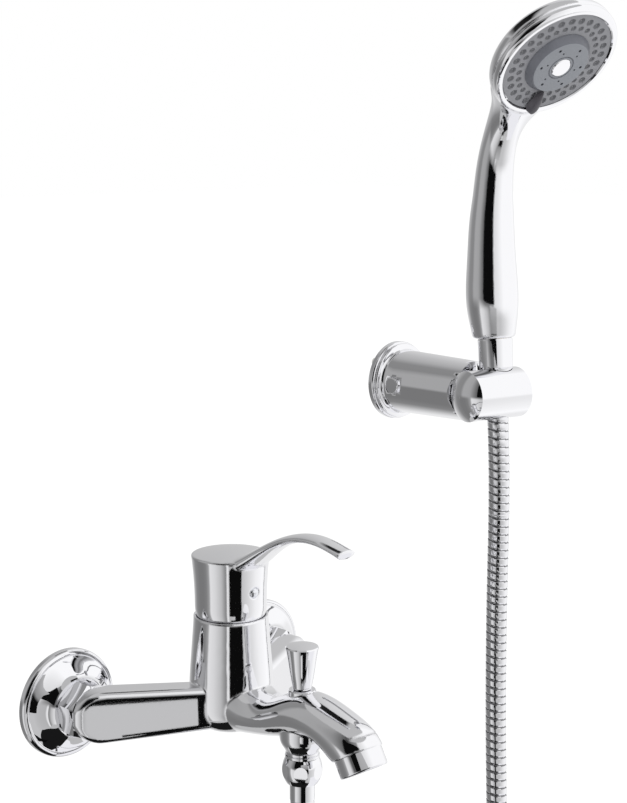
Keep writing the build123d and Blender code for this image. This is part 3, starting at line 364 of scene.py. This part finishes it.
def bright_plate(name, colour, haze, spread, scale, ripple):
    """Polished plating: a metal whose haze varies softly over the surface."""
    plate = bpy.data.materials.new(name)
    plate.use_nodes = True
    tree = plate.node_tree
    shader = tree.nodes["Principled BSDF"]
    shader.inputs["Base Color"].default_value = (*colour, 1)
    shader.inputs["Metallic"].default_value = 1.0
    polish = tree.nodes.new("ShaderNodeGroup")
    polish.node_tree = buffed
    polish.inputs["Haze"].default_value = haze
    polish.inputs["Spread"].default_value = spread
    polish.inputs["Scale"].default_value = scale
    bump = tree.nodes.new("ShaderNodeBump")
    bump.inputs["Strength"].default_value = ripple
    bump.inputs["Distance"].default_value = 0.00002
    tree.links.new(polish.outputs["Roughness"], shader.inputs["Roughness"])
    tree.links.new(polish.outputs["Ripple"], bump.inputs["Height"])
    tree.links.new(bump.outputs["Normal"], shader.inputs["Normal"])
    return plate


strip_chrome = bright_plate("strip_chrome", (0.82, 0.82, 0.84), 0.06, 0.04, 90.0, 0.08)
# painted shade: the groove faces get this darker plate, standing in for the shade between turns of
# the strip
groove_painted_shade = bright_plate("groove_painted_shade", (0.22, 0.22, 0.23), 0.30, 0.05, 90.0, 0.08)


def hose_line():
    """The hose's centre line, as close points along one smooth spline."""
    guide = bpy.data.curves.new("hose_guide", "CURVE")
    guide.dimensions = "3D"
    guide.resolution_u = 60
    spline = guide.splines.new("NURBS")
    spline.points.add(len(hose_points) - 1)
    for point, place in zip(spline.points, hose_points):
        point.co = (*(Vector(place) * MM), 1)
    spline.order_u = 3
    spline.use_endpoint_u = True
    holder = bpy.data.objects.new("hose_guide", guide)
    bpy.context.scene.collection.objects.link(holder)
    line_mesh = bpy.data.meshes.new_from_object(holder)
    line = [vertex.co.copy() for vertex in line_mesh.vertices]
    bpy.data.objects.remove(holder)
    bpy.data.meshes.remove(line_mesh)
    return line


def even_steps(line, step):
    """The same line with a point every step, and the distance of each point from its start."""
    lengths = [0.0]
    for here, there in zip(line, line[1:]):
        lengths.append(lengths[-1] + (there - here).length)
    count = round(lengths[-1] / step)
    places, index = [], 0
    for number in range(count + 1):
        target = lengths[-1] * number / count
        while index < len(lengths) - 2 and lengths[index + 1] < target:
            index += 1
        part = (target - lengths[index]) / max(lengths[index + 1] - lengths[index], 1e-9)
        places.append((line[index].lerp(line[index + 1], part), target))
    return places


def wound_strip(name, places, round_count=32):
    """A tube along places, whose radius dips where one turn of the strip locks to the next; the
    faces deep in that groove are painted darker, as painted shade.
    """
    mesh = bpy.data.meshes.new(name)
    shape = bmesh.new()
    rings = []
    groove_shaded = {}
    side = Vector((1, 0, 0))
    for number, (place, along) in enumerate(places):
        after = places[min(number + 1, len(places) - 1)][0]
        before = places[max(number - 1, 0)][0]
        heading = (after - before).normalized()
        side = (side - heading * side.dot(heading)).normalized()
        other = heading.cross(side)
        ring = []
        for step in range(round_count):
            angle = 2 * pi * step / round_count
            turn = (along / strip_pitch + step / round_count) % 1.0
            groove = max(0.0, 1 - abs(turn - 0.5) / groove_half) ** groove_power
            groove_shaded[number, step] = groove > groove_shade_from
            crown = crown_rise * sin(pi * ((turn + 0.5) % 1.0))
            radius = hose_r - crown_rise + crown - groove_depth * groove
            ring.append(shape.verts.new(place + (side * cos(angle) + other * sin(angle)) * radius))
        rings.append(ring)
    for number, (low, high) in enumerate(zip(rings, rings[1:])):
        for step in range(round_count):
            after = (step + 1) % round_count
            strip = shape.faces.new((low[step], low[after], high[after], high[step]))
            strip.material_index = int(groove_shaded[number, step])
    shape.faces.new(list(reversed(rings[0])))
    shape.faces.new(rings[-1])
    bmesh.ops.recalc_face_normals(shape, faces=shape.faces)
    for face in shape.faces:
        face.smooth = True
    shape.to_mesh(mesh)
    shape.free()
    tube = bpy.data.objects.new(name, mesh)
    bpy.context.scene.collection.objects.link(tube)
    mesh.materials.append(strip_chrome)
    mesh.materials.append(groove_painted_shade)
    return tube


hose_places = even_steps(hose_line(), strip_pitch / 10)
split = next(number for number, (_, along) in enumerate(hose_places) if along >= upper_length)
upper_places, lower_places = hose_places[: split + 1], hose_places[split:]
upper_hose = wound_strip("hose_upper", upper_places)
lower_hose = wound_strip("hose_lower", lower_places)
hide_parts("shower_hose")
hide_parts("shower_hose")
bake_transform(upper_hose)
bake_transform(lower_hose)

# ---- Bright castings and turned fittings --------------------------------------------------------
# Brass castings, nuts and flanges are ground, buffed and plated with chrome; the holder and the
# hand shower are moulded plastic with the same plating, a trace hazier than the brass.
plate_colour = (0.86, 0.86, 0.88)
plated_brass = bright_plate("plated_brass", plate_colour, 0.015, 0.02, 70.0, 0.02)
plated_plastic = bright_plate("plated_plastic", plate_colour, 0.02, 0.025, 60.0, 0.03)


def soft_corners(plate, radius):
    """Rounds the shading where two forms of one casting run into each other."""
    tree = plate.node_tree
    corner = tree.nodes.new("ShaderNodeBevel")
    corner.samples = 12
    corner.inputs["Radius"].default_value = radius
    tree.links.new(corner.outputs["Normal"], tree.nodes["Bump"].inputs["Normal"])
    return plate


cast_corner_r, shell_corner_r = 2.2 * MM, 3 * MM
cast_brass = soft_corners(
    bright_plate("cast_brass", plate_colour, 0.015, 0.02, 70.0, 0.02), cast_corner_r
)
soft_plastic = soft_corners(
    bright_plate("soft_plastic", plate_colour, 0.02, 0.025, 60.0, 0.03), shell_corner_r
)


def give_finish(finish, names):
    """Puts one finish on every named solid."""
    for name in names.split():
        nodes[name].material_slots[0].material = finish


give_finish(
    plated_brass,
    "wall_union_left wall_union_right wall_flange_left wall_flange_right union_nut_left"
    " union_nut_right diverter_knob diverter_bonnet outlet_nipple hose_nut lower_ferrule"
    " aerator_shell cone_nut upper_ferrule arm_grub_screw handle_grub_screw",
)
give_finish(cast_brass, "mixer_body handle")
give_finish(
    plated_plastic,
    "holder_arm holder_tongue holder_head head_cap arm_screw_cap face_ring centre_button",
)
give_finish(soft_plastic, "handset_shell")

# ---- Spray plate --------------------------------------------------------------------------------
# A matt blue-grey plate let into the chromed ring, with two rings of nozzle craters. A soft rubber
# nub stands in the middle of every crater, a little below the plate.
joint_of = {joint["name"]: joint for joint in frame["joints"]}
face_centre = Vector(joint_of["spray_selector"]["pos_m"])
face_out = Vector(joint_of["spray_selector"]["axis"]).normalized()
face_right = Vector(joint_of["holder_tilt"]["axis"]).normalized()
face_up = face_out.cross(face_right)
face_place = Matrix((face_right, face_up, face_out)).transposed().to_4x4()
face_place.translation = face_centre
plate_r, plate_front, plate_back = 36.6 * MM, -1.0 * MM, -5.0 * MM
outer_ring_r, outer_count, outer_crater = 31.6 * MM, 28, 2.6 * MM
inner_ring_r, inner_count, inner_crater = 26.2 * MM, 28, 2.1 * MM
dial_room_r, dial_base_r = 6.1 * MM, 22.2 * MM
# shares of a crater's radius: how far its sphere stands out, and the nub's foot, tip, height, depth
crater_lift, nub_foot, nub_tip, nub_height, nub_depth = 0.35, 0.36, 0.16, 0.5, 0.56


def moulded_effect():
    """Fine moulding grain with a soft unevenness of tone, for plastic, rubber and turned metal."""
    group = bpy.data.node_groups.new("moulded_grain", "ShaderNodeTree")
    face = group.interface
    usual = {"Grain": 900.0, "Cloud": 40.0, "Tone": 0.08, "Haze": 0.45, "Spread": 0.1}
    for label, value in usual.items():
        socket = face.new_socket(name=label, in_out="INPUT", socket_type="NodeSocketFloat")
        socket.default_value = value
    face.new_socket(name="Colour", in_out="INPUT", socket_type="NodeSocketColor")
    face.new_socket(name="Colour", in_out="OUTPUT", socket_type="NodeSocketColor")
    face.new_socket(name="Roughness", in_out="OUTPUT", socket_type="NodeSocketFloat")
    face.new_socket(name="Height", in_out="OUTPUT", socket_type="NodeSocketFloat")
    entry = group.nodes.new("NodeGroupInput")
    leave = group.nodes.new("NodeGroupOutput")
    where = group.nodes.new("ShaderNodeTexCoord")
    fine = group.nodes.new("ShaderNodeTexNoise")
    cloud = group.nodes.new("ShaderNodeTexNoise")
    cloud.inputs["Detail"].default_value = 4
    shade = group.nodes.new("ShaderNodeMath")
    shade.operation = "MULTIPLY_ADD"
    shade.inputs[2].default_value = 1.0
    centred = group.nodes.new("ShaderNodeMath")
    centred.operation = "SUBTRACT"
    centred.inputs[1].default_value = 0.5
    tint = group.nodes.new("ShaderNodeVectorMath")
    tint.operation = "SCALE"
    haze = group.nodes.new("ShaderNodeMath")
    haze.operation = "MULTIPLY_ADD"
    links = group.links
    links.new(where.outputs["Object"], fine.inputs["Vector"])
    links.new(where.outputs["Object"], cloud.inputs["Vector"])
    links.new(entry.outputs["Grain"], fine.inputs["Scale"])
    links.new(entry.outputs["Cloud"], cloud.inputs["Scale"])
    links.new(cloud.outputs["Fac"], centred.inputs[0])
    links.new(centred.outputs[0], shade.inputs[0])
    links.new(entry.outputs["Tone"], shade.inputs[1])
    links.new(entry.outputs["Colour"], tint.inputs[0])
    links.new(shade.outputs[0], tint.inputs["Scale"])
    links.new(tint.outputs[0], leave.inputs["Colour"])
    links.new(cloud.outputs["Fac"], haze.inputs[0])
    links.new(entry.outputs["Spread"], haze.inputs[1])
    links.new(entry.outputs["Haze"], haze.inputs[2])
    links.new(haze.outputs[0], leave.inputs["Roughness"])
    links.new(fine.outputs["Fac"], leave.inputs["Height"])
    return group


moulded = moulded_effect()


def moulded_finish(name, colour, haze, spread, tone, metallic=0.0, ripple=0.15, grain=900.0):
    """A finish with moulding or turning grain; every value is the piece's own."""
    finish = bpy.data.materials.new(name)
    finish.use_nodes = True
    tree = finish.node_tree
    shader = tree.nodes["Principled BSDF"]
    shader.inputs["Metallic"].default_value = metallic
    grained = tree.nodes.new("ShaderNodeGroup")
    grained.node_tree = moulded
    for label, value in (("Haze", haze), ("Spread", spread), ("Tone", tone), ("Grain", grain)):
        grained.inputs[label].default_value = value
    grained.inputs["Colour"].default_value = (*colour, 1)
    bump = tree.nodes.new("ShaderNodeBump")
    bump.inputs["Strength"].default_value = ripple
    bump.inputs["Distance"].default_value = 0.00004
    tree.links.new(grained.outputs["Colour"], shader.inputs["Base Color"])
    tree.links.new(grained.outputs["Roughness"], shader.inputs["Roughness"])
    tree.links.new(grained.outputs["Height"], bump.inputs["Height"])
    tree.links.new(bump.outputs["Normal"], shader.inputs["Normal"])
    return finish


def settle(obj, name):
    """Names a new piece and moves its place from the object into its mesh."""
    obj.name = name
    obj.data.transform(obj.matrix_world)
    obj.matrix_world = Matrix.Identity(4)
    return obj


def on_face(obj):
    """Moves a piece that was modelled flat at the origin onto the spray face, in its mesh."""
    obj.data.transform(face_place)
    obj.matrix_world = Matrix.Identity(4)


def take_away(obj, cutters):
    """Cuts joined closed solids out of a piece."""
    bpy.ops.object.select_all(action="DESELECT")
    for cutter in cutters:
        cutter.select_set(True)
    bpy.context.view_layer.objects.active = cutters[0]
    bpy.ops.object.join()
    tool = bpy.context.object
    bpy.ops.object.select_all(action="DESELECT")
    obj.select_set(True)
    bpy.context.view_layer.objects.active = obj
    cut = obj.modifiers.new("cut", "BOOLEAN")
    cut.operation = "DIFFERENCE"
    cut.solver = "EXACT"
    cut.object = tool
    bpy.ops.object.modifier_apply(modifier="cut")
    bpy.data.objects.remove(tool)


def smooth_sides(obj, angle):
    """Smooth shading that keeps every edge sharper than the angle."""
    bpy.ops.object.select_all(action="DESELECT")
    obj.select_set(True)
    bpy.context.view_layer.objects.active = obj
    bpy.ops.object.shade_smooth_by_angle(angle=radians(angle))


def tone_with_painted_shade(obj, main, other, other_faces):
    """Paints a piece in its main tone, and the numbered faces in the other, a darker painted shade.
    """
    obj.data.materials.clear()
    obj.data.materials.append(main)
    obj.data.materials.append(other)
    for number in other_faces:
        obj.data.polygons[number].material_index = 1


bpy.ops.object.select_all(action="DESELECT")
bpy.ops.mesh.primitive_cylinder_add(
    vertices=180,
    radius=plate_r,
    depth=plate_front - plate_back,
    location=(0, 0, (plate_front + plate_back) / 2),
)
plate = settle(bpy.context.object, "spray_plate_visual")
plate_cutters, nubs = [], []
for ring_r, count, crater, offset in (
    (outer_ring_r, outer_count, outer_crater, 0.0),
    (inner_ring_r, inner_count, inner_crater, 0.5),
):
    for number in range(count):
        angle = 2 * pi * (number + offset) / count
        spot = (ring_r * cos(angle), ring_r * sin(angle))
        bpy.ops.object.select_all(action="DESELECT")
        bpy.ops.mesh.primitive_uv_sphere_add(
            segments=20,
            ring_count=12,
            radius=crater,
            location=(*spot, plate_front + crater_lift * crater),
        )
        plate_cutters.append(bpy.context.object)
        bpy.ops.mesh.primitive_cone_add(
            vertices=16,
            radius1=nub_foot * crater,
            radius2=nub_tip * crater,
            depth=nub_height * crater,
            location=(*spot, plate_front - nub_depth * crater),
        )
        nubs.append(bpy.context.object)
bpy.ops.mesh.primitive_cylinder_add(
    vertices=64, radius=dial_room_r, depth=20 * MM, location=(0, 0, 0)
)
plate_cutters.append(bpy.context.object)
take_away(plate, plate_cutters)
smooth_sides(plate, 35)
plate_grey = moulded_finish("plate_grey", (0.285, 0.288, 0.310), 0.34, 0.12, 0.14)
# painted shade: the crater walls get this darker grey, standing in for the shade in the hollows
crater_painted_shade = moulded_finish("crater_painted_shade", (0.185, 0.187, 0.202), 0.26, 0.12, 0.14)


def in_crater(face):
    """Whether a face of the flat plate is on the inside of a crater."""
    on_rings = dial_base_r < face.center.xy.length < plate_r - 1 * MM
    below_front = plate_back + MM < face.center.z < plate_front - 0.2 * MM
    return on_rings and below_front


shaded_crater_faces = [face.index for face in plate.data.polygons if in_crater(face)]
on_face(plate)
tone_with_painted_shade(plate, plate_grey, crater_painted_shade, shaded_crater_faces)
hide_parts("spray_plate")
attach(plate, "handset_body")

bpy.ops.object.select_all(action="DESELECT")
for nub in nubs:
    nub.select_set(True)
bpy.context.view_layer.objects.active = nubs[0]
bpy.ops.object.join()
nub_set = settle(bpy.context.object, "nozzle_nubs")
smooth_sides(nub_set, 40)
on_face(nub_set)
nub_rubber = moulded_finish("nub_rubber", (0.30, 0.305, 0.32), 0.5, 0.1, 0.2)
nub_set.data.materials.append(nub_rubber)
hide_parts("spray_plate")
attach(nub_set, "handset_body")

# ---- Selector dial ------------------------------------------------------------------------------
# A low truncated cone that turns on the plate. It carries pairs of fine jet holes, a groove round
# the bright button, and a darker tab that reaches over the ring.
dial_low, dial_top, dial_top_r, dial_round = -0.9 * MM, 4.0 * MM, 18.8 * MM, 0.7 * MM
jet_pairs, jet_depth = 6, 7 * MM
jet_radii, jet_sizes, jet_leads = (11.5 * MM, 15.0 * MM), (0.65 * MM, 0.95 * MM), (-0.13, 0.05)
button_room_r, button_room_depth = 6.7 * MM, 6 * MM
button_groove_r, button_groove_half = 8.2 * MM, 0.45 * MM

bpy.ops.object.select_all(action="DESELECT")
bpy.ops.mesh.primitive_cone_add(
    vertices=128,
    radius1=dial_base_r,
    radius2=dial_top_r,
    depth=dial_top - dial_low,
    location=(0, 0, (dial_top + dial_low) / 2),
)
dial = settle(bpy.context.object, "selector_dial_visual")
rim = dial.modifiers.new("rim", "BEVEL")
rim.width = dial_round
rim.segments = 4
rim.limit_method = "ANGLE"
rim.angle_limit = radians(40)
bpy.ops.object.modifier_apply(modifier="rim")
dial_cutters = []
for number in range(jet_pairs):
    for radius, jet_r, lead in zip(jet_radii, jet_sizes, jet_leads):
        angle = 2 * pi * number / jet_pairs + lead
        bpy.ops.object.select_all(action="DESELECT")
        bpy.ops.mesh.primitive_cylinder_add(
            vertices=16,
            radius=jet_r,
            depth=jet_depth,
            location=(radius * cos(angle), radius * sin(angle), dial_top),
        )
        dial_cutters.append(bpy.context.object)
bpy.ops.mesh.primitive_cylinder_add(
    vertices=96, radius=button_room_r, depth=button_room_depth, location=(0, 0, dial_top)
)
dial_cutters.append(bpy.context.object)
bpy.ops.mesh.primitive_torus_add(
    major_segments=96,
    minor_segments=12,
    major_radius=button_groove_r,
    minor_radius=button_groove_half,
    location=(0, 0, dial_top),
)
dial_cutters.append(bpy.context.object)
take_away(dial, dial_cutters)
smooth_sides(dial, 35)
dial_grey = moulded_finish("dial_grey", (0.27, 0.285, 0.315), 0.34, 0.1, 0.12)
# painted shade: the dial's slope and the insides of its jets, groove and middle get this darker
# grey, standing in for shade
slope_painted_shade = moulded_finish("slope_painted_shade", (0.150, 0.156, 0.180), 0.34, 0.1, 0.12)


def on_slope(face):
    """Whether a face of the flat dial is on its slope, or inside a jet, groove or the middle: the
    faces painted darker as shade.
    """
    away = face.center.xy.length
    slope = away > dial_top_r and 0.2 < face.normal.z < 0.9
    hollow = away < dial_top_r - MM and face.center.z < dial_top - 0.3 * MM
    return slope or hollow


painted_shade_faces = [face.index for face in dial.data.polygons if on_slope(face)]
on_face(dial)
tone_with_painted_shade(dial, dial_grey, slope_painted_shade, painted_shade_faces)
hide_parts("selector_dial")
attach(dial, "selector_body")

# ---- Selector tab -------------------------------------------------------------------------------
# The finger tab of the dial: a dark teardrop with a raised spine, narrow at the dial and round at
# its outer end. It is moulded in one with the dial.
tab_inner, tab_outer, tab_half = 21.0 * MM, 39.0 * MM, 4.9 * MM
tab_low, tab_high, tab_skirt = 0.3 * MM, 4.4 * MM, 0.1 * MM
# shares of the tab's length and width: where it is widest, its width at the dial, its least width
tab_widest, tab_neck, tab_tip = 0.66, 0.08, 0.02
tab_count, half_steps = 24, 4
tab_mesh = bpy.data.meshes.new("selector_tab")
tab_shape = bmesh.new()
tab_rows = []
for row in range(tab_count + 1):
    share = sin(pi / 2 * row / tab_count)
    reach = tab_inner + (tab_outer - tab_inner) * share
    if share < tab_widest:
        swell = tab_neck + (1 - tab_neck) * sin(pi / 2 * share / tab_widest)
    else:
        swell = max(tab_tip, 1 - ((share - tab_widest) / (1 - tab_widest)) ** 2) ** 0.5
    half = tab_half * swell
    height = tab_low + (tab_high - tab_low) * min(1.0, 0.45 + 0.6 * swell)
    line = []
    for step in range(2 * half_steps + 1):
        across = step / half_steps - 1
        lift = height * (1 - 0.8 * across * across) if abs(across) < 1 else tab_low
        line.append(tab_shape.verts.new((across * half, -reach, max(lift, tab_low))))
    for step in range(2 * half_steps - 1, 0, -1):
        across = step / half_steps - 1
        line.append(tab_shape.verts.new((across * half, -reach, tab_low - tab_skirt)))
    tab_rows.append(line)
for low_row, high_row in zip(tab_rows, tab_rows[1:]):
    for step in range(len(low_row)):
        after = (step + 1) % len(low_row)
        tab_shape.faces.new((low_row[step], low_row[after], high_row[after], high_row[step]))
tab_shape.faces.new(list(reversed(tab_rows[0])))
tab_shape.faces.new(tab_rows[-1])
bmesh.ops.recalc_face_normals(tab_shape, faces=tab_shape.faces)
tab_shape.to_mesh(tab_mesh)
tab_shape.free()
tab = bpy.data.objects.new("selector_tab", tab_mesh)
bpy.context.scene.collection.objects.link(tab)
smooth_sides(tab, 45)
on_face(tab)
tab_dark = moulded_finish("tab_dark", (0.075, 0.070, 0.082), 0.32, 0.1, 0.15)
tab_mesh.materials.append(tab_dark)
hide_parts("selector_dial")
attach(tab, "selector_body")

# ---- Index button -------------------------------------------------------------------------------
# The plug that covers the lever's grub screw: a small bright dome, moulded, plated and pressed into
# its hole until its rim is below the cap.
plug_fit, plug_depth, plug_sunk = 0.97, 2.3 * MM, 0.4 * MM
plug_low, plug_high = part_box("index_button")
plug_middle = (Vector(plug_low) + Vector(plug_high)) / 2
plug_r = (plug_high[0] - plug_low[0]) / 2
bpy.ops.object.select_all(action="DESELECT")
bpy.ops.mesh.primitive_uv_sphere_add(segments=48, ring_count=32, radius=1.0, location=(0, 0, 0))
plug = bpy.context.object
plug.name = "index_button_visual"
plug.data.transform(
    Matrix.Translation((plug_middle.x, plug_high[1] - plug_sunk, plug_middle.z))
    @ Matrix.Diagonal((plug_r * plug_fit, plug_depth, plug_r * plug_fit, 1))
)
smooth_sides(plug, 60)
plug_bright = bright_plate("plug_bright", (0.80, 0.81, 0.84), 0.05, 0.03, 60.0, 0.02)
plug.data.materials.append(plug_bright)
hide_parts("index_button")
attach(plug, "lever_body")

# ---- Holder arm's lower lip ---------------------------------------------------------------------
# The moulded and plated arm again, with a relief cut in the lower lip of its end, behind the socket
# head, so that the hose can swing back under the arm when the head is tilted.
tilt_centre = Vector(joint_of["holder_tilt"]["pos_m"])
tilt_line = Vector(joint_of["holder_tilt"]["axis"]).normalized()
hose_room_r, hose_room_length, hose_room_drop = hose_r + 2.2 * MM, 60 * MM, 8 * MM
hose_swings = (36, 28, 20, 12)
arm = bpy.data.objects.new("holder_arm_visual", nodes["holder_arm"].data.copy())
bpy.context.scene.collection.objects.link(arm)
arm_shape = bmesh.new()
arm_shape.from_mesh(arm.data)
bmesh.ops.remove_doubles(arm_shape, verts=arm_shape.verts, dist=0.001 * MM)
arm_shape.to_mesh(arm.data)
arm_shape.free()
hose_top = hose_places[0][0]
hose_aside = tilt_line * (hose_top - tilt_centre).dot(tilt_line)
for swing in hose_swings:
    bpy.ops.object.select_all(action="DESELECT")
    bpy.ops.mesh.primitive_cylinder_add(
        vertices=48,
        radius=hose_room_r,
        depth=hose_room_length,
        location=(0, 0, -hose_room_length / 2 - hose_room_drop),
    )
    hose_room = settle(bpy.context.object, "hose_room")
    swung = Matrix.Rotation(radians(swing), 4, tilt_line)
    hose_room.data.transform(Matrix.Translation(tilt_centre + hose_aside) @ swung)
    take_away(arm, [hose_room])
smooth_sides(arm, 30)
arm.data.materials.clear()
arm.data.materials.append(plated_plastic)
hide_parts("holder_arm")
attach(arm, "root")

# ---- Inner and hidden parts ---------------------------------------------------------------------
# Turned brass, black rubber, moulded plastic, lapped ceramic and drawn steel, each with its own
# grain and haze. Most of them only show when the mixer is taken apart.
raw_brass = moulded_finish("raw_brass", (0.60, 0.44, 0.20), 0.26, 0.12, 0.10, 1.0, 0.25, 500.0)
black_rubber = moulded_finish(
    "black_rubber", (0.020, 0.020, 0.021), 0.62, 0.15, 0.25, 0.0, 0.3, 700.0
)
pale_plastic = moulded_finish(
    "pale_plastic", (0.58, 0.58, 0.55), 0.40, 0.12, 0.07, 0.0, 0.12, 1100.0
)
white_ceramic = moulded_finish(
    "white_ceramic", (0.84, 0.83, 0.79), 0.16, 0.06, 0.04, 0.0, 0.04, 1500.0
)
drawn_steel = moulded_finish("drawn_steel", (0.52, 0.52, 0.53), 0.28, 0.12, 0.08, 1.0, 0.2, 600.0)
give_finish(raw_brass, "cartridge_nut diverter_stem handset_inlet spindle pivot_screw")
give_finish(
    black_rubber,
    "inlet_washers cartridge_seals diverter_disc aerator_washer outlet_washer upper_washer",
)
give_finish(
    pale_plastic,
    "cartridge_housing rotor disc_carrier aerator_insert friction_washer wall_plugs holder_plate",
)
give_finish(white_ceramic, "fixed_disc moving_disc")
give_finish(drawn_steel, "rotor_pin diverter_spring holder_screws")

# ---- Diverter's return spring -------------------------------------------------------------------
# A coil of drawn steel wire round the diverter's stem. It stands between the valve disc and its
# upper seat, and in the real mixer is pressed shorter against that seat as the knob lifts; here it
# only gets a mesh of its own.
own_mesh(nodes["diverter_spring"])
